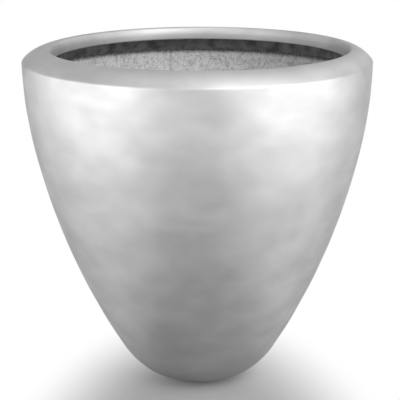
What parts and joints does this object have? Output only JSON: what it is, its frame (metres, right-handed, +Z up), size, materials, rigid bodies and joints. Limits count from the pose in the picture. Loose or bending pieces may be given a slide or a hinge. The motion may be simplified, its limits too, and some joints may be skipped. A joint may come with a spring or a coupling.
{
  "type": "floor planter",
  "caption": "Tall tapered round floor planter with a domed in-turned rim, a glass-fibre lined inside, a pull-out drain bung and low feet.",
  "frame": {"origin": "centre of the standing pads' floor plane, on the planter's axis", "axes": "+Z up the planter's axis; -Y faces the viewer of the picture"},
  "size_m": [0.6, 0.6, 0.598],
  "materials": {
    "silver_lacquer": "satin",
    "strand_mat": "matte",
    "bonding_paste": "matte",
    "bung_rubber": "matte",
    "pad_rubber": "matte"
  },
  "bodies": {
    "planter": {"body_shell": "silver_lacquer", "rim_ring": "silver_lacquer", "rim_bond": "bonding_paste", "base_mat": "strand_mat", "mat_strip_01": "strand_mat", "mat_strip_02": "strand_mat", "mat_strip_03": "strand_mat", "mat_strip_04": "strand_mat", "mat_strip_05": "strand_mat", "mat_strip_06": "strand_mat", "mat_strip_07": "strand_mat", "mat_strip_08": "strand_mat", "mat_strip_09": "strand_mat", "mat_strip_10": "strand_mat", "mat_strip_11": "strand_mat", "mat_strip_12": "strand_mat", "mat_strip_13": "strand_mat", "mat_strip_14": "strand_mat", "mat_strip_15": "strand_mat", "mat_strip_16": "strand_mat", "foot_pad_1": "pad_rubber", "foot_pad_2": "pad_rubber", "foot_pad_3": "pad_rubber", "foot_pad_4": "pad_rubber"},
    "bung": {"drain_plug": "bung_rubber"}
  },
  "joints": [
    {"name": "drain_plug_pull", "type": "slide", "parent": "planter", "child": "bung", "axis": [0, 0, 1], "range_m": [0, 0.64]}
  ]
}
